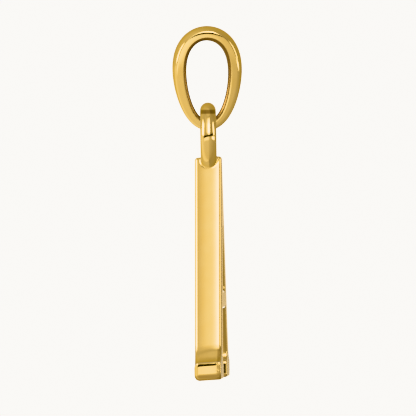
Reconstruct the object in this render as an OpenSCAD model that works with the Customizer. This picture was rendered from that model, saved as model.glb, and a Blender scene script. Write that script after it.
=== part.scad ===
// Initial pendant: a cast serif capital with a ring soldered on its apex, hung on a loose
// tapered bail. The front faces -Y, the letter's width runs along X and +Z is up. The origin
// is where a chain bears on the inside top of the bail, so everything else hangs below it.

/* [Letter] */
// Height from the feet to the apex
letter_h = 17.75; // [16.5:0.05:20]
// Width across the feet
letter_w = 16.4; // [15.8:0.1:18]
// Thickness from front to back
letter_t = 2.1; // [1.8:0.1:2.6]
// Width of each leg, measured level
stroke_w = 2.65; // [2.3:0.05:2.9]
// Width of the flat top of the apex
apex_w = 1.5; // [1.2:0.1:2]
// Height of the crossbar
bar_h = 1.45; // [1.1:0.05:1.9]
// Height of the crossbar's underside above the feet
bar_z = 5.55; // [4.6:0.05:6.5]
// Roundness of every edge
edge_r = 0.25; // [0.15:0.01:0.28]
// Rake of the level edges, lower at the front, in degrees
rake = 3; // [0:0.5:5]

/* [Feet] */
// Height of a serif at its ends
serif_h = 1.36; // [1.3:0.02:1.6]
// Reach of the outer serif beyond the leg
serif_out = 1.6; // [1.55:0.01:1.8]
// Reach of the inner serif beyond the leg
serif_in = 1.1; // [1.05:0.05:1.3]
// Radius of the hollow bracket over the outer serif
bracket_out_r = 2.05; // [1.4:0.05:2.1]
// Radius of the hollow bracket over the inner serif
bracket_in_r = 0.5; // [0.3:0.05:0.55]

/* [Ring] */
// Outside diameter of the ring
ring_d = 5.4; // [4.8:0.02:5.6]
// Diameter of the ring's wire
wire_d = 1.28; // [1.1:0.02:1.32]
// Depth that the ring is let into the apex and soldered
solder_bite = 1.04; // [0.5:0.02:1.2]
// Turn of the soldered ring about the vertical, in degrees
ring_turn = 3; // [0:0.5:5]

/* [Bail] */
// Height of the bail's opening
bail_h = 6.35; // [6:0.05:7]
// Width of the opening where it is widest
bail_w = 3.36; // [3.1:0.02:3.8]
// Thickness of the rims
bail_wall = 0.68; // [0.6:0.02:0.8]
// Length of the top of the bail along the chain
band_top = 3.1; // [2.4:0.1:3.6]
// Length of the bottom of the bail along the chain
band_low = 0.84; // [0.8:0.02:0.9]
// Rise of the domed outside above the rims at the top
dome_top = 0.5; // [0.2:0.02:0.5]
// Room between the bail and the ring's hole where the ring hangs
hang_gap = 0.12; // [0.12:0.01:0.15]
// Turn of the loose bail about the vertical, in degrees
bail_turn = 4.5; // [0:0.5:6]

/* [Hidden] */

gold = [0.86, 0.66, 0.27];

// Middle of the letter's thickness, a hair in front of the ring's plane
letter_y = -0.05;

// Rounds of the outline where no driving size sets them
apex_r = 0.3;
serif_r = 0.3;
tip_r = 0.28;
sole_r = 0.6;
bar_r = 0.25;
counter_r = 0.25;
arc_step = 12;
round_cuts = 4;

// Outer end of a serif: rise of its top towards the leg, overhang of its crown, and draft to the sole
tip_rise = 0.12;
crown_out = 0.01;
crown_h = 0.44;
crown_r = 2.4;
end_draft = 0.1;

// Sides roll inwards towards the front: depth where the roll starts, and how fast it grows
roll_from = 0.77;
roll_rate = 0.096;
roll_cuts = 5;
// Height under which a corner is too flat to be cut off by itself
flat_ear = 0.0002;

// Egg shape of the bail: how much fuller above its middle, and how much squarer at its top
egg_lift = 0.18;
egg_square = 0.05;
bail_steps = 60;
// Dome, rim thickness and edge rounds of the bail at its top and bottom
dome_low = 0.1;
rim_low = 0.74;
rim_swell = 0.08;
round_top = 0.12;
round_low = 0.3;
round_turns = 2;
dome_cuts = 6;

// Heights that follow from how the pieces hang on each other
ring_z = hang_gap - bail_h - (ring_d / 2 - wire_d);
apex_z = ring_z - ring_d / 2 + solder_bite;
foot_z = apex_z - letter_h;

// Outside and inside of a leg at a height above the feet
leg_x = letter_w / 2 - serif_out;
lean = (leg_x - apex_w / 2) / (letter_h - serif_h);
function leg_out(z) = apex_w / 2 + lean * (letter_h - z);
function leg_in(z) = leg_out(z) - stroke_w;
counter_top = letter_h - (stroke_w - apex_w / 2) / lean;
bar_top = bar_z + bar_h;

function unit(v) = v / norm(v);
function mix(a, b, t) = a + (b - a) * t;
function cross2(u, v) = u[0] * v[1] - u[1] * v[0];

// Round that replaces corner b of a clockwise path from a to c, as rows of [point, way out]
function corner(a, b, c, r) =
    let (
        u = unit(a - b),
        v = unit(c - b),
        half = acos(u * v) / 2,
        bulge = sign(cross2(u, v)),
        centre = b + unit(u + v) * r / sin(half),
        start = b + u * r / tan(half) - centre,
        from = atan2(start[1], start[0]),
        sweep = -bulge * (180 - 2 * half),
        n = ceil(abs(sweep) / arc_step)
    )
    [for (i = [0 : n])
        let (way = [cos(from + sweep * i / n), sin(from + sweep * i / n)])
        [centre + r * way, bulge * way]];

// Closed clockwise path with every corner rounded, from rows of [x, z, radius, roll], as rows of
// [point, way out, roll]
function rounded(rows) =
    let (n = len(rows))
    [for (i = [0 : n - 1])
        let (a = rows[(i + n - 1) % n], b = rows[i], c = rows[(i + 1) % n])
        for (q = corner([a[0], a[1]], [b[0], b[1]], [c[0], c[1]], b[2])) [q[0], q[1], b[3]]];

// Right half of the letter, from the apex round the foot to the crossbar's underside. The last
// column is 1 where a corner moves in with the outer walls' roll, and -1 where it moves out.
bracket_z = serif_h + tip_rise;
right_half = [
    [apex_w / 2, letter_h, apex_r, 1],
    [leg_out(bracket_z), bracket_z, bracket_out_r, 1],
    [letter_w / 2 - crown_out, serif_h, tip_r, 1],
    [letter_w / 2, serif_h - crown_h, crown_r, 1],
    [letter_w / 2 - end_draft, 0, sole_r, 1],
    [leg_in(serif_h) - serif_in, 0, serif_r, -1],
    [leg_in(serif_h) - serif_in, serif_h, serif_r, -1],
    [leg_in(serif_h), serif_h, bracket_in_r, -1],
    [leg_in(bar_z), bar_z, bar_r, -1]
];
left_half = [for (i = [len(right_half) - 1 : -1 : 0])
    let (q = right_half[i]) [-q[0], q[1], q[2], -q[3]]];
outline = rounded(concat(right_half, left_half));
counter = rounded([
    [0, counter_top, counter_r, 0],
    [leg_in(bar_top), bar_top, counter_r, -1],
    [-leg_in(bar_top), bar_top, counter_r, 1]
]);

// Does corner b stand out of the outline, with every other corner outside the cut from a to c?
function is_ear(p, list, a, b, c) =
    cross2(p[b] - p[a], p[c] - p[b]) < -flat_ear * norm(p[c] - p[a])
    && len([for (k = list)
        if (k != a && k != b && k != c
            && cross2(p[b] - p[a], p[k] - p[a]) <= 0
            && cross2(p[c] - p[b], p[k] - p[b]) <= 0
            && cross2(p[a] - p[c], p[k] - p[c]) <= 0) k]) == 0;

// Triangles that fill a clockwise outline, from its corners in list, the shortest cut first
function fill(p, list) =
    len(list) == 3 ? [list]
    : let (
        n = len(list),
        ears = [for (i = [0 : n - 1])
            let (a = list[(i + n - 1) % n], b = list[i], c = list[(i + 1) % n])
            if (is_ear(p, list, a, b, c)) [norm(p[c] - p[a]), [a, b, c]]],
        shortest = min([for (e = ears) e[0]]),
        ear = [for (e = ears) if (e[0] == shortest) e[1]][0]
    )
    concat([ear], fill(p, [for (k = list) if (k != ear[1]) k]));

// Solid through copies of a path, one for each [inset, y] level from the front to the back, whose
// upright walls roll away towards the front
function roll(y) = roll_rate * pow(max(roll_from - y, 0), 2);
module slab(path, levels) {
    n = len(path);
    last = (len(levels) - 1) * n;
    cap = fill([for (q = path) q[0]], [for (i = [0 : n - 1]) i]);
    points = [for (level = levels, q = path)
        let (p = q[0] - q[1] * level[0])
        [p[0] - q[2] * roll(level[1]), level[1], p[1] + foot_z + level[1] * tan(rake)]];
    walls = [for (k = [0 : len(levels) - 2], i = [0 : n - 1])
        let (j = (i + 1) % n)
        each [[k * n + i, (k + 1) * n + i, (k + 1) * n + j], [k * n + i, (k + 1) * n + j, k * n + j]]];
    back = [for (c = cap) [c[2] + last, c[1] + last, c[0] + last]];
    polyhedron(points, concat(cap, walls, back));
}

// Levels of a slab whose edges are rounded inwards (side 1) or flared outwards (side -1)
function levels(side) =
    let (quarter = [for (i = [0 : round_cuts]) 90 * i / round_cuts], flat_y = letter_t / 2 - edge_r)
    concat(
        [for (a = quarter) [side * edge_r * (1 - sin(a)), -flat_y - edge_r * cos(a)]],
        [for (i = [1 : roll_cuts]) [0, mix(-flat_y, flat_y, i / (roll_cuts + 1))]],
        [for (a = quarter) [side * edge_r * (1 - cos(a)), flat_y + edge_r * sin(a)]]
    );

module letter() {
    translate([0, letter_y, 0]) difference() {
        slab(outline, levels(1));
        slab(counter, concat([[-edge_r, -letter_t]], levels(-1), [[-edge_r, letter_t]]));
    }
}

module ring() {
    translate([0, 0, ring_z]) rotate([90, 0, ring_turn])
        rotate_extrude($fn = 96) translate([(ring_d - wire_d) / 2, 0]) circle(d = wire_d, $fn = 48);
}

module initial_letter() {
    color(gold) {
        letter();
        ring();
    }
}

// Inside of the bail at an angle down from its top: [y, z] on the egg, and the way out of it
function egg(u) = sin(u) * (1 + egg_lift * cos(u) + egg_square * cos(2 * u));
egg_peak = max([for (u = [0 : 2 : 180]) egg(u)]);
function bail_point(u) = [bail_w / 2 * egg(u) / egg_peak, -bail_h / 2 * (1 - cos(u))];
function bail_out(u) = let (t = bail_point(u + 1) - bail_point(u - 1)) unit([-t[1], t[0]]);

// Section of the bail as [x, n], n being the distance out from the opening
function arc(centre, r, from, to, n) =
    [for (i = [0 : n]) centre + r * [cos(mix(from, to, i / n)), sin(mix(from, to, i / n))]];
function section(b, rim, dome, r) =
    let (slope = atan(2 * dome / b), turns = round_turns)
    concat(
        arc([b - r, r], r, -90, 0, turns),
        arc([b - r, rim - r], r, 0, 90 - slope, turns),
        [for (i = [1 : dome_cuts - 1])
            let (s = 1 - 2 * i / dome_cuts, x = s * (b - r))
            [x, rim + dome * (1 - x * x / (b * b))]],
        arc([r - b, rim - r], r, 90 + slope, 180, turns),
        arc([r - b, r], r, 180, 270, turns)
    );
function bail_section(u) =
    let (t = (1 - cos(u)) / 2)
    section(mix(band_top, band_low, t) / 2, mix(bail_wall, rim_low, t) + rim_swell * pow(sin(u), 2),
        mix(dome_top, dome_low, t), mix(round_top, round_low, t));

// Both side faces are flat and lean towards each other, so the band's length follows the height
bail_tip = bail_wall + dome_top;
bail_reach = bail_tip + bail_h + rim_low + dome_low;
function band_at(z) = mix(band_top, band_low, (bail_tip - z) / bail_reach);

module bail() {
    rings = [for (i = [0 : bail_steps - 1])
        let (u = 360 * i / bail_steps, p = bail_point(u), out = bail_out(u))
        [for (q = bail_section(u))
            let (place = p + out * q[1])
            [q[0] * band_at(place[1]) / mix(band_top, band_low, (1 - cos(u)) / 2), place[0], place[1]]]];
    m = len(rings[0]);
    faces = [for (i = [0 : bail_steps - 1], j = [0 : m - 1])
        let (k = (i + 1) % bail_steps, l = (j + 1) % m)
        [i * m + j, i * m + l, k * m + l, k * m + j]];
    color(gold) rotate([0, 0, bail_turn]) polyhedron([for (r = rings) each r], faces);
}

initial_letter();
bail();
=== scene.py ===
# %% [markdown]
# # An initial pendant in polished gold
# The object is a cast serif capital with a ring soldered on its apex, hung on a loose tapered
# bail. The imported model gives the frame: where each piece is and how it swings. This lesson
# gives both pieces their true polished skin, which plain solids can't carry, and lights them.
# Shapes are worked out in millimetres, and turn into metres where they enter Blender.

# %% Load the frame
import math

import bpy
import numpy as np
from mathutils import Matrix, Vector


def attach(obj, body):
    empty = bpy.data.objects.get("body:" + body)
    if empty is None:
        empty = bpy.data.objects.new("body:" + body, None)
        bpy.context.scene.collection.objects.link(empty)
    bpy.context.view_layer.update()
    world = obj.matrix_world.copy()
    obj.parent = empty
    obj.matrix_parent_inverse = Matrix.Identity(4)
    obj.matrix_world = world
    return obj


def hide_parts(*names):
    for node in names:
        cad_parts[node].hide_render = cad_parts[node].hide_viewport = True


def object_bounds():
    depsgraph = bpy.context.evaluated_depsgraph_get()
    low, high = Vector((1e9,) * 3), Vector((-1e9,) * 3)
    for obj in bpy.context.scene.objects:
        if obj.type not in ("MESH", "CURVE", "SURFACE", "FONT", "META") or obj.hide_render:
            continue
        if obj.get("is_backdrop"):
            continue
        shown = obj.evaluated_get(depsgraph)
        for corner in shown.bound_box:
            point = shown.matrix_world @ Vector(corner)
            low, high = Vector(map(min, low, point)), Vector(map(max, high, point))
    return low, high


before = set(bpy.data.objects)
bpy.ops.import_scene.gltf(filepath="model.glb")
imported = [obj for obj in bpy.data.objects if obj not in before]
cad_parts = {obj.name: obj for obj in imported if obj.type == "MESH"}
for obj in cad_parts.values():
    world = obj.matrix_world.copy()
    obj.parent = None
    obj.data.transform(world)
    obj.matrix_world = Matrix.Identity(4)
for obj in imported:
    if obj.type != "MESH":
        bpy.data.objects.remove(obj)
cad_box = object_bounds()
MM = 0.001
scene = bpy.context.scene

# %% [markdown]
# ## The camera
# A pendant this small is photographed with a long lens from about a metre away, so that its far
# foot looks hardly smaller than its near one. The camera stands at the letter's side and a hair
# towards its back, and it is rolled by a degree. Shift could frame the pendant too, but aiming
# at the middle of the picture keeps the lens simple.

# %% Camera
camera_far = 1.0
picture_side = 33.28 * MM
picture_middle = Vector((0, -0.125 * MM, -13.4 * MM))
camera_azimuth = 92.6
camera_elevation = 0.3
camera_roll = 1.0


def way(azimuth, elevation):
    """Unit vector from the object at an azimuth from -Y towards +X, and an elevation."""
    a, e = math.radians(azimuth), math.radians(elevation)
    return Vector((math.sin(a) * math.cos(e), -math.cos(a) * math.cos(e), math.sin(e)))


camera_data = bpy.data.cameras.new("camera")
camera_data.sensor_width = 36
camera_data.lens = camera_data.sensor_width * camera_far / picture_side
camera_data.clip_start = 0.01
camera = bpy.data.objects.new("camera", camera_data)
to_camera = way(camera_azimuth, camera_elevation)
turn = (-to_camera).to_track_quat("-Z", "Y").to_matrix().to_4x4()
camera.matrix_world = (
    Matrix.Translation(picture_middle + to_camera * camera_far)
    @ turn
    @ Matrix.Rotation(math.radians(-camera_roll), 4, "Z")
)
scene.collection.objects.link(camera)
scene.camera = camera
print("lens", round(camera_data.lens), "mm")

# %% [markdown]
# ## Shader maths
# Finishes are easier to read as formulas than as chains of nodes. A small class wraps a socket
# and turns + - * / into Math nodes, so that `1 - mask` works. Its two masks, a step and a band,
# say where something begins or lies, which is most of what a finish needs.


# %% Socket wrapper
class Socket:
    """A node socket that can be used in sums and products."""

    def __init__(self, tree, out):
        self.tree, self.out = tree, out

    def math(self, operation, *values):
        return node(self.tree, "ShaderNodeMath", {"operation": operation}, [self, *values])

    def __add__(self, other):
        return self.math("ADD", other)

    def __sub__(self, other):
        return self.math("SUBTRACT", other)

    def __mul__(self, other):
        return self.math("MULTIPLY", other)

    def __truediv__(self, other):
        return self.math("DIVIDE", other)

    def __rsub__(self, other):
        return (self * -1) + other

    __radd__ = __add__
    __rmul__ = __mul__

    def step(self, low, high):
        """0 below low and 1 above high, with a smooth rise between, or a fall if high is lower."""
        if low > high:
            return 1 - self.step(high, low)
        settings = {"interpolation_type": "SMOOTHSTEP"}
        return node(self.tree, "ShaderNodeMapRange", settings, [self, low, high, 0.0, 1.0])

    def band(self, middle, half, soft):
        """1 within half of the middle, falling to 0 over the soft distance outside it."""
        away = (self - middle).math("ABSOLUTE")
        return away.step(half + soft, half)


print("sockets can be added and multiplied")

# %% [markdown]
# A Math node would turn a colour grey, so colours and vectors go through Mix and Vector Math
# nodes. One function adds any node: its settings first, because they can change its sockets,
# and then the numbers or links of those sockets.


# %% Nodes by name
def node(tree, kind, settings, values, out=0):
    """Adds a node with its settings first and then its inputs, and returns one output."""
    made = tree.nodes.new(kind)
    for name, value in settings.items():
        if name == "stops":
            ramp = made.color_ramp
            while len(ramp.elements) < len(value):
                ramp.elements.new(1.0)
            for stop, (place, colour) in zip(ramp.elements, value):
                stop.position, stop.color = place, (*colour, 1.0)
        else:
            setattr(made, name, value)
    named = values.items() if isinstance(values, dict) else enumerate(values)
    for key, value in named:
        if isinstance(value, Socket):
            tree.links.new(value.out, made.inputs[key])
        else:
            made.inputs[key].default_value = value
    return Socket(tree, made.outputs[out])


def mix_colour(tree, share, first, second):
    """Colour that goes from first to second as share goes from 0 to 1."""
    settings = {"data_type": "RGBA"}
    return node(tree, "ShaderNodeMix", settings, {0: share, 6: first, 7: second}, out=2)


def parts_of(tree, vector):
    """The three numbers of a vector."""
    split = node(tree, "ShaderNodeSeparateXYZ", {}, [vector])
    return [Socket(tree, out) for out in split.out.node.outputs]


print("shader maths ready")

# %% [markdown]
# ## The studio
# Polished gold has little colour of its own to show: what one sees is the room in it. A jeweller's
# light tent gives the metal its clean stripes and its fine black lines. The tent could be built
# from lamps and cards. A world that depends only on direction gives the same reflections with
# no objects, and stays put when the camera moves. It is written in degrees: `height` is up from
# level, and `side` is round from the main camera towards the pendant's back. Each table has a
# row for each place where the brightness turns: its degrees, and its brightness.

# %% Directions
sky = bpy.data.worlds.new("light_tent")
sky.use_nodes = True
tree = sky.node_tree
tree.nodes.clear()
along_x, along_y, along_z = parts_of(tree, node(tree, "ShaderNodeTexCoord", {}, []))
degrees = 180 / math.pi
height = along_z.math("ARCSINE") * degrees
side = along_y.math("ARCTAN2", along_x) * degrees - (camera_azimuth - 90)
across = (side / degrees).math("SINE") * (height / degrees).math("COSINE")


def profile(value, rows):
    """Brightness that follows rows of (place, brightness) along a value."""
    low, high = rows[0][0], rows[-1][0]
    peak = max(row[1] for row in rows)
    stops = [((place - low) / (high - low), (level / peak,) * 3) for place, level in rows]
    return node(tree, "ShaderNodeValToRGB", {"stops": stops}, [(value - low) / (high - low)]) * peak


print("directions ready")

# %% [markdown]
# Above the camera hangs one tall lit panel, which fades towards the left. The letter's leaning
# side mirrors it as a gradient from dark gold to pale. A narrow strip on each side of the tent
# gives the round wire its bright lines, and a low one lies under table height on the right.
# Round lamps would be simpler to describe, but they would leave round spots on the metal.

# %% Lamps
front_share = side.math("ABSOLUTE").step(96.0, 86.0)
panel = profile(across.math("ARCSINE") * degrees, [
    (-90, 0.0), (-45, 0.0), (-38, 0.2), (-33, 0.35), (-29, 0.5), (-26, 0.7), (-23, 0.85),
    (-20, 0.95), (-17, 1.05), (-14, 1.4), (-12, 2.1), (-10, 3.5), (-7, 7.0), (-2, 12.0),
    (4, 16.0), (14, 16.0), (16, 14.0), (18, 3.0), (22, 0.7), (30, 0.0), (90, 0.0),
])
panel_rise = profile(height, [
    (0, 0.0), (4, 0.0), (6, 0.1), (9, 0.2), (12, 0.75), (16, 1.0), (38, 1.0), (42, 0.76),
    (46, 0.54), (50, 0.42), (55, 0.32), (60, 0.13), (67, 0.0), (90, 0.0),
]) * front_share
strips = profile(side, [
    (-180, 0.0), (-105, 0.0), (-98, 13.0), (-77, 13.0), (-70, 0.0), (70, 0.0), (76, 6.0),
    (88, 6.0), (93, 0.0), (180, 0.0),
])
strip_rise = profile(height, [(0, 0.0), (4, 1.0), (24, 1.0), (33, 0.0), (90, 0.0)])
low_strip_light = 6
low_strip = side.band(72.0, 12.0, 12.0) * height.band(-4.5, 2.0, 2.0) * low_strip_light
print("lamps ready")

# %% [markdown]
# The cloth between the lamps could be one flat grey, but then every wall of the metal would look
# alike. It is a little darker to the right of the camera, and its top is paler than its walls.

# %% Cloth
canopy = profile(side, [
    (-180, 0.66), (-140, 0.8), (-120, 0.8), (-86, 0.66), (-55, 0.66), (-20, 0.6), (15, 0.5),
    (25, 0.42), (50, 0.45), (66, 0.55), (110, 0.48), (145, 0.56), (180, 0.68),
])
crest_light = 0.86
crest = height.step(62.0, 76.0)
above = panel * panel_rise + strips * strip_rise + canopy + crest * (crest_light - canopy)
print("tent walls ready")

# %% [markdown]
# Below table height the tent is lit by what bounces off the table: a bright sweep just under
# table height to the left of the camera, and a calmer grey further down. A mirrored floor could
# give this too, but its reflections would change with every height of the camera.

# %% Table light
near_left = profile(side, [
    (-180, 0.0), (-75, 0.0), (-52, 1.0), (-4, 1.0), (8, 0.15), (30, 0.0), (180, 0.0),
])
sweep = profile(height, [(-30, 0.0), (-14, 0.0), (-11.5, 0.9), (-10, 1.0), (-1, 1.0), (0, 1.0)])
sweep_light = 1.25
calm = profile(side, [
    (-180, 0.9), (-128, 0.9), (-116, 1.4), (-100, 1.3), (-80, 1.02), (-50, 0.95), (-5, 0.95),
    (12, 0.78), (60, 0.62), (85, 0.55), (150, 0.52), (180, 0.6),
])
deep = profile(height, [(-90, 0.92), (-60, 0.96), (-20, 1.0), (0, 1.0)])
below = calm * deep + sweep * near_left * sweep_light
print("table light ready")

# %% [markdown]
# Between table and cloth the tent has a dark gap, a little higher on the right. The bail, the ring
# and the serifs each mirror it as one thin black line, the surest sign of a mirror polish.

# %% Gap
gap_slant = 0.05
gap_rise = 1.2
gap_depth = 0.985
centre_share = side.band(0.0, 62.0, 22.0)
slant = height - side * gap_slant - gap_rise
gap = slant.band(0.0, 2.5, 1.3) * centre_share
sky_share = (height - centre_share * side * gap_slant).step(-0.5, 3.5)
room = (below + (above - below) * sky_share) * (1 - gap * gap_depth) + low_strip
print("gap ready")

# %% [markdown]
# Two small fields lie behind the pendant. One is the white paper that the camera looks straight
# into. The other is an amber card beside it, which the letter's back mirrors at a glance. What
# glows strongly is a lamp behind white cloth, so it is a little cooler than the rest.

# %% Paper, card and tone
paper_light, card_light = 1.82, 1.35
paper_patch = side.math("ABSOLUTE").step(176.3, 177.0) * height.band(-1.5, 3.1, 2.0)
amber_card = side.band(174.0, 1.8, 0.8) * height.band(0.0, 6.0, 3.0)
warm = (1.0, 0.985, 0.955)
cool = (0.97, 1.0, 1.06)
amber = (1.0, 0.84, 0.52)
lamp_share = room.step(0.9, 1.8) * (1 - paper_patch)
light = room + (paper_light - room) * paper_patch
light = light + (card_light - light) * amber_card
shade = []
for pale, lit, deep_tone in zip(warm, cool, amber):
    tinted = lamp_share * (lit - pale) + pale
    shade.append(light * (tinted + (deep_tone - tinted) * amber_card))
tone = node(tree, "ShaderNodeCombineColor", {}, shade)
glow = node(tree, "ShaderNodeBackground", {}, [tone, 1.0])
world_out = tree.nodes.new("ShaderNodeOutputWorld")
tree.links.new(glow.out, world_out.inputs["Surface"])
scene.world = sky
scene.view_settings.view_transform = "Khronos PBR Neutral"
print("world nodes", len(tree.nodes))

# %% [markdown]
# ## The floor
# A plain pale floor lies below the reach of the swinging feet. It fades out where the camera at
# table height would see its far edge as a line. A curved backdrop would hide that edge too, but
# it would stand in the tent's light. The metal doesn't mirror the floor, because the tent's own
# lower half already holds what a table gives.

# %% Floor
floor_z = -36 * MM
floor_near, floor_far, floor_wide = 1.2, -0.27, 1.2
fade_depth = 0.12
floor_mesh = bpy.data.meshes.new("floor")
corners = [(floor_far, -1), (floor_near, -1), (floor_near, 1), (floor_far, 1)]
floor_mesh.from_pydata([(x, y * floor_wide, floor_z) for x, y in corners], [], [(0, 1, 2, 3)])
floor = bpy.data.objects.new("floor", floor_mesh)
floor.visible_glossy = False
scene.collection.objects.link(floor)
floor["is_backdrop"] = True
paper = bpy.data.materials.new("pale_paper")
paper.use_nodes = True
tree = paper.node_tree
paper_shader = tree.nodes["Principled BSDF"]
paper_shader.inputs["Base Color"].default_value = (0.66, 0.655, 0.64, 1)
paper_shader.inputs["Roughness"].default_value = 0.9
paper_shader.inputs["Specular IOR Level"].default_value = 0.1
depth = parts_of(tree, node(tree, "ShaderNodeTexCoord", {}, [], out=3))[0]
tree.links.new(depth.step(floor_far, floor_far + fade_depth).out, paper_shader.inputs["Alpha"])
floor_mesh.materials.append(paper)
print("floor", floor_z / MM, "mm")

# %% [markdown]
# ## Sizes
# These are the model's own driving sizes, in millimetres and degrees. The letter's thickness and
# serifs are a few hundredths more, for the width of the reflections on them. The heights follow
# from how the ring hangs on the bail, and how the letter hangs on the ring.

# %% Sizes
letter_h, letter_w, letter_t = 17.75, 16.4, 2.14
letter_y = -0.03
stroke_w, apex_w = 2.65, 1.5
bar_h, bar_z = 1.45, 5.55
serif_h, serif_out, serif_in = 1.41, 1.6, 1.1
rake = math.tan(math.radians(3))
ring_d, wire_d, solder_bite = 5.4, 1.28, 1.04
ring_turn, bail_turn = math.radians(3), math.radians(4.5)
bail_h, bail_w = 6.35, 3.36
band_top, band_low = 3.1, 0.84
hang_gap = 0.12
ring_z = hang_gap - bail_h - (ring_d / 2 - wire_d)
foot_z = ring_z - ring_d / 2 + solder_bite - letter_h
leg_x = letter_w / 2 - serif_out
lean = (leg_x - apex_w / 2) / (letter_h - serif_h)
print("ring", round(ring_z, 2), "foot", round(foot_z, 2))

# %% [markdown]
# ## The letter's outline
# Seen from the front the capital is a path of straight edges with every corner rounded, the hollow
# brackets over the serifs too. Each row is a corner's x, its height over the feet and its
# radius, clockwise from the apex. One half is written down, and the other is its mirror.


# %% Outline
def leg_out(z):
    return apex_w / 2 + lean * (letter_h - z)


def leg_in(z):
    return leg_out(z) - stroke_w


tip_rise = 0.12
crown_h, crown_out = 0.28, 0.006
edge_inset = 0.004
crown_x = letter_w / 2 - edge_inset
end_draft = 0.1
bracket_z = serif_h + tip_rise
inner_x = leg_in(serif_h) - serif_in
right_half = [
    (apex_w / 2, letter_h, 0.3),
    (leg_out(bracket_z), bracket_z, 2.15),
    (crown_x - crown_out, serif_h, 0.08),
    (crown_x, serif_h - crown_h, 1.3),
    (letter_w / 2 - end_draft, 0, 0.6),
    (inner_x, 0, 0.3),
    (inner_x, serif_h, 0.3),
    (leg_in(serif_h), serif_h, 0.5),
    (leg_in(bar_z), bar_z, 0.25),
]
outline = right_half + [(-x, z, r) for x, z, r in reversed(right_half)]
counter_top = letter_h - (stroke_w - apex_w / 2) / lean
bar_top = bar_z + bar_h
counter = [
    (0, counter_top, 0.25),
    (leg_in(bar_top), bar_top, 0.25),
    (-leg_in(bar_top), bar_top, 0.25),
]
print("corners", len(outline), "and", len(counter))

# %% [markdown]
# A curve object could hold this path, but a formula for the distance to it is worth more:
# everything else about the casting can be said with distances. The nearest edge or arc gives
# the number, and the side it is passed on gives the sign.


# %% Distance to a path
def rounded_path(rows):
    """Arcs and straight edges of a clockwise path, as arrays for distance_to."""
    corners = np.array([row[:2] for row in rows], float)
    arcs, ends = [], []
    for i, (_, _, r) in enumerate(rows):
        b = corners[i]
        u = corners[i - 1] - b
        v = corners[(i + 1) % len(rows)] - b
        u /= np.linalg.norm(u)
        v /= np.linalg.norm(v)
        half = math.acos(float(np.clip(u @ v, -1, 1))) / 2
        middle = (u + v) / np.linalg.norm(u + v)
        bulge = np.sign(u[0] * v[1] - u[1] * v[0])
        arcs.append((*(b + middle * r / math.sin(half)), r, *(-middle), math.pi / 2 - half, bulge))
        ends.append((b + u * r / math.tan(half), b + v * r / math.tan(half)))
    edges = [(*ends[i - 1][1], *ends[i][0]) for i in range(len(rows))]
    return np.array(arcs), np.array(edges)


def distance_to(path, x, z):
    """Signed distance from points to a rounded path, negative inside it."""
    arcs, edges = path
    nearest = np.full(x.shape, np.inf)
    signed = np.zeros(x.shape)
    for x0, z0, x1, z1 in edges:
        ux, uz = x1 - x0, z1 - z0
        size = math.hypot(ux, uz)
        t = ((x - x0) * ux + (z - z0) * uz) / size**2
        gap = np.hypot(x - x0 - np.clip(t, 0, 1) * ux, z - z0 - np.clip(t, 0, 1) * uz)
        out = ((z - z0) * ux - (x - x0) * uz) / size
        closer = gap < nearest - 1e-9
        nearest = np.where(closer, gap, nearest)
        signed = np.where(closer, np.sign(out) * gap, signed)
    for cx, cz, r, wx, wz, spread, bulge in arcs:
        dx, dz = x - cx, z - cz
        far = np.hypot(dx, dz)
        within = (dx * wx + dz * wz) >= far * math.cos(spread)
        gap = np.abs(far - r)
        closer = within & (gap < nearest + 1e-9)
        nearest = np.where(closer, gap, nearest)
        signed = np.where(closer, (far - r) * bulge, signed)
    return signed


outer_path = rounded_path(outline)
inner_path = rounded_path(counter)
probe = distance_to(outer_path, np.array([0.0, 0.0, 20.0]), np.array([17.0, 3.0, 5.0]))
print("distance at apex, between the feet and outside", probe.round(2))

# %% [markdown]
# ## The casting
# Polishing never leaves a sharp edge. The sides of a cast letter roll over towards its front, and
# every edge is rounded with a curve that starts softly, which is what stretches a reflection
# into a gradient instead of a hard line. A bevel modifier could round the edges, but its curve
# starts at once. Here the solid is a rule: inside the outline, between front and back, with
# a soft corner between the two, whose size changes from the feet to the legs.

# %% Letter's rule
front_r, foot_front_r = 0.24, 0.44
back_r, foot_back_r = 0.4, 0.18
back_power = 3.2
roll_from, roll_rate = 0.77, 0.096
feet_top, legs_from = 1.5, 2.7


def soft_corner(a, b, r, power=2.0):
    """Intersection of two distances whose edge is rounded with a softly starting curve."""
    u, v = np.maximum(a + r, 0), np.maximum(b + r, 0)
    return (u**power + v**power) ** (1 / power) + np.minimum(np.maximum(a, b) + r, 0) - r


def letter_rule(x, y, z):
    """Distance to the cast letter, negative in the metal."""
    depth = y - letter_y
    level = z - foot_z - depth * rake
    roll = roll_rate * np.maximum(roll_from - depth, 0) ** 2
    inward = np.maximum(np.abs(x) - roll, 0)
    outside = np.maximum(
        distance_to(outer_path, np.abs(x) + roll, level), distance_to(outer_path, inward, level)
    )
    hole = distance_to(inner_path, inward, level)
    walls = np.maximum(outside, -hole)
    rise = np.clip((level - feet_top) / (legs_from - feet_top), 0, 1)
    rise = rise**2 * (3 - 2 * rise)
    back_edge = foot_back_r + (back_r - foot_back_r) * rise
    front_edge = foot_front_r + (front_r - foot_front_r) * rise
    body = soft_corner(walls, depth - letter_t / 2, back_edge, back_power)
    return soft_corner(body, -depth - letter_t / 2, front_edge)


print("metal in the foot", letter_rule(*np.array([[6.5], [0.0], [foot_z + 0.7]])).round(2))

# %% [markdown]
# The ring is a round wire, a little turned where it was soldered on. Solder runs into the corner
# between two metals and leaves a hollow fillet. A union with a soft join gives that at once,
# where a separate bead of solder would have to be fitted.

# %% Ring and solder
solder_r = 0.16


def soft_join(a, b, r):
    """Union of two distances with a fillet of about r in the corner between them."""
    h = np.maximum(r - np.abs(a - b), 0) / r
    return np.minimum(a, b) - h * h * r / 4


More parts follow.
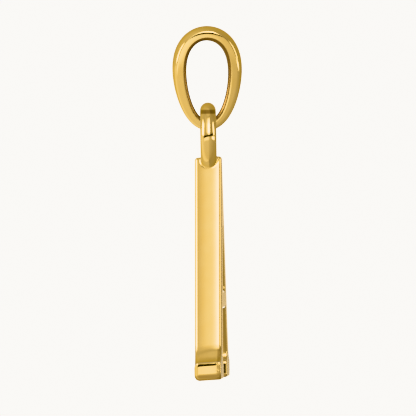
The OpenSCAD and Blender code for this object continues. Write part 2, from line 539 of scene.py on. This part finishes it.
def ring_rule(x, y, z):
    """Distance to the round wire of the ring."""
    along = x * math.cos(ring_turn) + y * math.sin(ring_turn)
    ahead = y * math.cos(ring_turn) - x * math.sin(ring_turn)
    from_wire = np.hypot(along, z - ring_z) - (ring_d - wire_d) / 2
    return np.hypot(from_wire, ahead) - wire_d / 2


def casting_rule(x, y, z):
    return soft_join(letter_rule(x, y, z), ring_rule(x, y, z), solder_r)


print("metal at the apex", casting_rule(*np.array([[0.0], [0.0], [-10.0]])).round(2))

# %% [markdown]
# ## A skin from a rule
# Remeshing a solid with voxels leaves ripples that a mirror finish would show. The mesher here
# puts one point in each small cell that the surface crosses and joins neighbouring points with
# quads. Every point then slides along the rule's slope until it lies on the surface, and the
# slope there is also the true normal, so the reflections are as smooth as the rule.

# %% Slope and grid
least_slope = 0.05


def slope(rule, points, size=0.004):
    """Gradient of a rule at points."""
    axes = np.eye(3) * size
    return np.stack([(rule(*(points + a).T) - rule(*(points - a).T)) for a in axes], 1) / (2 * size)


def settled(rule, points, limit, rounds):
    """Points slid along the rule's slope onto its surface, no further than the limit a round."""
    for _ in range(rounds):
        way_out = slope(rule, points)
        length = np.maximum((way_out**2).sum(1), least_slope)
        move = way_out * (rule(*points.T) / length)[:, None]
        points = points - np.clip(move, -limit, limit)
    return points


def graded(*stretches):
    """Grid lines along an axis, from rows of (from, to, cell)."""
    lines = [np.linspace(a, b, round((b - a) / c), endpoint=False) for a, b, c in stretches]
    return np.concatenate([*lines, [stretches[-1][1]]])


print("grid lines in two stretches", graded((0, 0.5, 0.25), (0.5, 1, 0.1)).round(2))

# %% [markdown]
# A cell is crossed where some of its corners are in metal and some in air. A grid edge between
# metal and air is shared by four crossed cells, and their four points make one quad.


# %% Cells and quads
def crossed_cells(inside):
    """Cells that the surface crosses, and a grid that gives each one's number."""
    shape = np.array(inside.shape) - 1
    mixed_count = np.zeros(shape, np.int8)
    for corner in np.ndindex(2, 2, 2):
        mixed_count += inside[tuple(slice(c, c + s) for c, s in zip(corner, shape))]
    mixed = (mixed_count > 0) & (mixed_count < 8)
    cells = np.argwhere(mixed)
    number = np.full(mixed.shape, -1)
    number[mixed] = np.arange(len(cells))
    return cells, number


def quads_between(inside, number):
    """A quad round each grid edge that leaves the metal, wound to face the air."""
    quads = []
    for axis in range(3):
        u, v = (axis + 1) % 3, (axis + 2) % 3
        change = -np.diff(inside.astype(np.int8), axis=axis)
        places = np.argwhere(change != 0)
        places = places[(places[:, u] > 0) & (places[:, v] > 0)]
        ring = []
        for du, dv in ((0, 0), (1, 0), (1, 1), (0, 1)):
            cell_at = places.copy()
            cell_at[:, u] -= du
            cell_at[:, v] -= dv
            ring.append(number[tuple(cell_at.T)])
        loop = np.stack(ring, 1)
        entering = change[tuple(places.T)] < 0
        loop[entering] = loop[entering][:, ::-1]
        quads.append(loop)
    return np.concatenate(quads)


print("cell and quad finders ready")

# %% [markdown]
# The first points sit unevenly where the surface cuts cells at a slant. A few rounds that move
# each one to the middle of its quads, and back onto the surface, even the mesh out.


# %% Skin
def evened(rule, points, quads, limit, rounds=5):
    """Points moved to the middle of the quads round them and back onto the surface."""
    for _ in range(rounds):
        middles = points[quads].mean(1)
        total, share = np.zeros(points.shape), np.zeros(len(points))
        for corner in quads.T:
            np.add.at(total, corner, middles)
            np.add.at(share, corner, 1)
        points = settled(rule, total / share[:, None], limit, 2)
    return points


def skin(rule, axes):
    """Points, quads and normals of the surface where a rule is zero, on a grid's lines."""
    field = np.empty([len(a) for a in axes], np.float32)
    plane = np.meshgrid(axes[0], axes[2], indexing="ij")
    for j, y in enumerate(axes[1]):
        field[:, j, :] = rule(plane[0], np.full_like(plane[0], y), plane[1])
    inside = field < 0
    cells, number = crossed_cells(inside)
    quads = quads_between(inside, number)
    points = np.stack([((a[1:] + a[:-1]) / 2)[c] for a, c in zip(axes, cells.T)], 1)
    limit = np.stack([np.diff(a)[c] for a, c in zip(axes, cells.T)], 1)
    points = evened(rule, settled(rule, points, limit, 7), quads, limit)
    normals = slope(rule, points)
    return points, quads, normals / np.linalg.norm(normals, axis=1)[:, None]


def add_piece(name, points, quads, normals=None):
    """Mesh object in metres from millimetre points, smooth, with true normals if given."""
    mesh = bpy.data.meshes.new(name)
    mesh.from_pydata(np.asarray(points) * MM, [], np.asarray(quads).tolist())
    mesh.polygons.foreach_set("use_smooth", np.ones(len(mesh.polygons), bool))
    mesh.update()
    if normals is not None:
        mesh.normals_split_custom_set_from_vertices(normals)
    piece = bpy.data.objects.new(name, mesh)
    piece.visible_glossy = False
    scene.collection.objects.link(piece)
    print(name, len(mesh.vertices), "points", len(mesh.polygons), "faces")
    return piece


print("skin ready")

# %% [markdown]
# ## The letter
# One casting with its ring, so one mesh. A reflection shows every flat of a coarse mesh, so the
# cells are finest where the surface turns fastest: the rounded edges and the ends of the serifs.
# The pieces don't mirror each other. Two mirrors this close trade the same warm patch to and fro
# until it turns orange, and the photographed metal shows none of that.

# %% Letter
foot_x = letter_w / 2 - 0.2
end_x = letter_w / 2 + 0.12
grid_x = graded((-end_x, -foot_x, 0.04), (-foot_x, foot_x, 0.1), (foot_x, end_x, 0.04))
grid_y = graded((-1.2, -0.75, 0.035), (-0.75, 0.55, 0.1), (0.55, 1.15, 0.035))
foot_rows = (-0.2, 0.7, 0.1), (0.7, 1.6, 0.035), (1.6, 3.6, 0.09)
grid_z = foot_z + graded(*foot_rows, (3.6, 17.0, 0.12), (17.0, 23.0, 0.08))
casting = add_piece("cast_letter", *skin(casting_rule, (grid_x, grid_y, grid_z)))

# %% [markdown]
# ## The bail
# The bail is a band bent into an egg and drawn thin towards its bottom. Half way round the egg is
# its bottom, so the share of the way down follows the cosine, and every size of the section
# goes from its top value to its low one by that share.

# %% Egg
egg_lift, egg_square = 0.18, 0.05
dome_top, dome_low = 0.495, 0.1
rim_top, rim_low, rim_swell = 0.68, 0.74, 0.07
outer_edge_top, outer_edge_low = 0.05, 0.25
inner_edge_top, inner_edge_low = 0.24, 0.4
bail_rings = 300


def egg(u):
    """How far the egg stands out sideways, u being the angle round it from the top."""
    return np.sin(u) * (1 + egg_lift * np.cos(u) + egg_square * np.cos(2 * u))


def bail_path(u):
    """Inside of the bail in the plane across the chain."""
    return np.stack([bail_w / 2 * egg(u) / egg_peak, -bail_h / 2 * (1 - np.cos(u))], 1)


def drawn(top, low, share):
    """A size that goes from its top value to its low one."""
    return top + (low - top) * share


egg_peak = egg(np.linspace(0, math.pi, 2000)).max()
around = np.arange(bail_rings) / bail_rings * 2 * math.pi
down = (1 - np.cos(around)) / 2
half = drawn(band_top, band_low, down) / 2
rim = drawn(rim_top, rim_low, down) + rim_swell * np.sin(around) ** 2
dome = drawn(dome_top, dome_low, down)
outer_edge = drawn(outer_edge_top, outer_edge_low, down)
inner_edge = drawn(inner_edge_top, inner_edge_low, down)
print("band half widths", half.min().round(2), "to", half.max().round(2))

# %% [markdown]
# Its section is a D: flat inside, flat sides that close in towards a domed outside. A swept curve
# would keep one section all the way, so each ring of points is worked out from its own section.
# Rays from the middle of the section are halved again and again until they end on its rule. The
# rays bunch at the corners, where the surface turns fastest.

# %% Section
crown_rate, crown_deep = 0.125, 0.66
bail_rays, ray_bunch = 168, 0.175


def section_rule(x, n, half, rim, dome, outer_edge, inner_edge):
    """Distance to the D section, n being the distance out from the opening."""
    top = n - rim - dome * (1 - (x / half) ** 2)
    side_face = np.abs(x) - half + crown_rate * np.maximum(n - rim + crown_deep, 0) ** 2
    return soft_corner(soft_corner(side_face, top, outer_edge), -n, inner_edge)


rays = np.arange(bail_rays) / bail_rays * 2 * math.pi
rays += np.sin(4 * rays) * ray_bunch
ray_x = np.cos(rays)[None, :] * half[:, None]
ray_n = np.sin(rays)[None, :] * (rim / 2)[:, None]
column = [a[:, None] for a in (half, rim, dome, outer_edge, inner_edge)]
near, far = np.zeros(ray_x.shape), np.full(ray_x.shape, 3.0)
for _ in range(40):
    mid = (near + far) / 2
    inside = section_rule(ray_x * mid, rim[:, None] / 2 + ray_n * mid, *column) < 0
    near, far = np.where(inside, mid, near), np.where(inside, far, mid)
section_x, outward = ray_x * near, rim[:, None] / 2 + ray_n * near
print("rays end between", near.min().round(2), "and", near.max().round(2))

# %% [markdown]
# The sections stand square on the egg. Seen from the front the band's sides are straight lines
# from top to bottom, so each point's width is set again by its own height. Last, the whole bail
# is turned as it hangs.

# %% Bail
inner = bail_path(around)
tangent = bail_path(around + 0.01) - bail_path(around - 0.01)
outside = np.stack([-tangent[:, 1], tangent[:, 0]], 1)
outside /= np.linalg.norm(outside, axis=1)[:, None]
yz = inner[:, None, :] + outside[:, None, :] * outward[:, :, None]
bail_tip = rim_top + dome_top
bail_reach = bail_tip + bail_h + rim_low + dome_low
half_at = drawn(band_top, band_low, (bail_tip - yz[:, :, 1]) / bail_reach) / 2
bail_points = np.dstack([section_x * half_at / half[:, None], yz]).reshape(-1, 3)
bail_points = bail_points @ np.array(Matrix.Rotation(bail_turn, 3, "Z")).T
ring_at = np.arange(bail_rings)[:, None] * bail_rays
next_at = (np.arange(bail_rings)[:, None] + 1) % bail_rings * bail_rays
here = np.arange(bail_rays)[None, :]
there = (here + 1) % bail_rays
bail_quads = np.stack([ring_at + here, next_at + here, next_at + there, ring_at + there], 2)
bail = add_piece("egg_bail", bail_points, bail_quads.reshape(-1, 4))

# %% [markdown]
# ## Where the gold differs
# No piece of jewellery is polished alike all over. The wheel can't reach into the bail or into the
# corner of the solder, and the back is left duller. The soles, the ring under the bail and the
# inside of the bail are darkened as painted shade, for the dark they would mirror, and the low
# backs, the back of the crossbar and the back edges are made darker. Painted maps could say where.
# Here each place is a formula of position and normal, in the piece's own frame, so it stays on
# the metal when the letter swings. Grain makes gold rough, and the painted shade and darkening
# mix in a dark brown gold.

# %% Places on the letter
# How dark the painted shade on the soles and on the ring under the bail is, and how much darker the
# low backs, the crossbar's back and the back edges are made.
sole_painted_shade, low_back_dark, bar_back_dark = 0.55, 0.5, 0.25
bearing_painted_shade, back_edge_dark = 0.8, 0.5
solder_z = ring_z - ring_d / 2 + solder_bite
bearing_z = ring_z + ring_d / 2 - 0.76
apex_z = foot_z + letter_h


def letter_grain(spot, facing):
    """The letter's back, and the solder round the foot of the ring."""
    letter_back = facing[1].step(0.86, 0.97)
    near_middle = spot[0].math("ABSOLUTE").step(1.9, 1.2)
    solder = near_middle * spot[2].band(solder_z + 0.1, 0.12, 0.25) * 0.6
    return letter_back.math("MAXIMUM", solder)


def letter_shade_and_darkening(spot, facing):
    """Painted shade on the soles and under the bail; darker low backs, crossbar back and back edges.
    """
    backward = facing[1].step(0.8, 0.95)
    # Painted shade on the soles, for the shadowed ground they would mirror.
    sole_shade = facing[2].step(-0.12, -0.35) * spot[2].step(foot_z + 1.2, foot_z + 0.6)
    low_back = backward * spot[2].step(foot_z + 2.8, foot_z + 1.8)
    bar_back = backward * spot[2].band(foot_z + bar_z + bar_h / 2, bar_h / 2, 0.3)
    # Painted shade on the ring just under the bail, for the bail's dark reflection there.
    bearing_shade = spot[2].band(bearing_z, 0.1, 0.12) * facing[2].step(0.2, 0.4)
    back_edge = spot[1].band(letter_y + letter_t / 2 - 0.2, 0.07, 0.1) * back_edge_dark
    letter_only = spot[2].step(apex_z - 0.2, apex_z - 0.8)
    darkened = sole_shade * sole_painted_shade + low_back * low_back_dark
    darkened = darkened + bar_back * bar_back_dark + bearing_shade * bearing_painted_shade
    return darkened.math("MAXIMUM", back_edge * letter_only)


def letter_flash(spot):
    """Casting flash left on the back edges of the feet."""
    foot_end = spot[0].math("ABSOLUTE").step(6.3, 6.9) * spot[2].band(foot_z + 1.4, 0.7, 0.5)
    return foot_end * spot[1].step(0.55, 0.8)


print("solder at", round(solder_z, 2), "bearing at", round(bearing_z, 2))

# %% [markdown]
# On the bail only the inside differs: it is rougher, and darkened with painted shade for the dark
# it would mirror. Whether a surface looks inward is told by its normal and its direction from
# the middle of the opening.

# %% Places on the bail
inside_grain = 2.4


def inward_of(spot, facing):
    """Above 0 where a surface of the bail faces out from its opening, below 0 inside it."""
    return spot[1] * facing[1] + (spot[2] + bail_h * 0.42) * facing[2]


def bail_grain(spot, facing):
    return inward_of(spot, facing).step(0.0, -0.6) * inside_grain


# Painted shade on the inside of the bail, where it would mirror its own dark inside.
def bail_painted_shade(spot, facing):
    return inward_of(spot, facing).step(-0.1, -0.7)


def no_flash(spot):
    return spot[0] * 0


print("inside of the bail ready")

# %% [markdown]
# ## Polished gold
# Fourteen karat gold is a warm, slightly pale yellow. Its finish comes from the buffing wheel:
# nearly a mirror, but with hairlines along the stroke of the wheel and faint clouds of polish.
# The hairlines are noise drawn out along the height. Grain adds sandy roughness, painted shade
# and darkening mix in a dark brown gold, and flash raises small lumps. The specular tint keeps
# glancing reflections golden, which a plain metal would turn white.

# %% Gold
letter_tints = (0.80, 0.525, 0.155), (0.83, 0.57, 0.20)
# The bail's gold is painted paler than the letter's, a painted brightness that lifts its reflections.
bail_brightened_tints = (0.86, 0.57, 0.17), (0.89, 0.61, 0.21)
shade_and_dark_tint = (0.21, 0.115, 0.032)
glancing_tint = (0.84, 0.7, 0.4)
polish_rough, cloud_rough, hairline_rough = 0.05, 0.03, 0.03
grain_rough, sand_rough = 0.08, 0.1
hairline_high, cloud_high, lump_high = 0.0002, 0.0006, 0.05


def noise(tree, place, scale, detail=2.0):
    return node(tree, "ShaderNodeTexNoise", {}, {"Vector": place, "Scale": scale, "Detail": detail})


def vector_maths(tree, operation, values):
    return node(tree, "ShaderNodeVectorMath", {"operation": operation}, values)


def polished_gold(name, tints, grain_mask, shade_and_dark_mask, flash_mask):
    """Polished gold that is grainy, dark or lumpy where its three masks say."""
    gold = bpy.data.materials.new(name)
    gold.use_nodes = True
    tree = gold.node_tree
    shader = tree.nodes["Principled BSDF"]
    shader.inputs["Metallic"].default_value = 1.0
    shader.inputs["Specular Tint"].default_value = (*glancing_tint, 1)
    metres = node(tree, "ShaderNodeTexCoord", {}, [], out=3)
    place = vector_maths(tree, "SCALE", {0: metres, 3: 1 / MM})
    spot = parts_of(tree, place)
    facing = parts_of(tree, node(tree, "ShaderNodeTexCoord", {}, [], out=1))
    clouds = noise(tree, place, 0.9)
    hairlines = noise(tree, vector_maths(tree, "MULTIPLY", [place, (9.0, 9.0, 0.35)]), 4.0)
    sand = noise(tree, place, 9.0, 4.0)
    grain = grain_mask(spot, facing)
    dark, pale = tints
    tint = mix_colour(tree, clouds.step(0.3, 0.75) * 0.5 + grain * 0.3, (*dark, 1), (*pale, 1))
    # Painted shade and darkening: where the mask says, the dark brown gold is mixed in.
    darkened = mix_colour(tree, shade_and_dark_mask(spot, facing), tint, (*shade_and_dark_tint, 1))
    tree.links.new(darkened.out, shader.inputs["Base Color"])
    buffed = clouds.step(0.35, 0.8) * cloud_rough + hairlines.step(0.45, 0.8) * hairline_rough
    sandy = grain * (grain_rough + sand * sand_rough)
    tree.links.new((buffed + polish_rough + sandy).out, shader.inputs["Roughness"])
    lumps = noise(tree, place, 5.0, 3.0) * flash_mask(spot)
    relief = hairlines * hairline_high + clouds * cloud_high + lumps * lump_high
    bump = node(tree, "ShaderNodeBump", {}, {"Height": relief * MM, "Distance": 1.0, "Strength": 1.0})
    tree.links.new(bump.out, shader.inputs["Normal"])
    return gold


letter_gold = polished_gold("letter_gold", letter_tints, letter_grain, letter_shade_and_darkening, letter_flash)
bail_gold = polished_gold("bail_gold", bail_brightened_tints, bail_grain, bail_painted_shade, no_flash)
casting.data.materials.append(letter_gold)
bail.data.materials.append(bail_gold)
print("gold nodes", len(letter_gold.node_tree.nodes), len(bail_gold.node_tree.nodes))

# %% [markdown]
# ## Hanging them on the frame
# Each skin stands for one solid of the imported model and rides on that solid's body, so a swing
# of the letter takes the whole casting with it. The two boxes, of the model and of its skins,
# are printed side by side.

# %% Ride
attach(casting, "letter")
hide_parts("initial_letter")
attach(bail, "bail")
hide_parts("bail")

new_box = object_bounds()
sizes = {"cad": [list(v) for v in cad_box], "visual": [list(v) for v in new_box]}
for name, (low, high) in sizes.items():
    print(name, [round(v / MM, 2) for v in low], [round(v / MM, 2) for v in high])
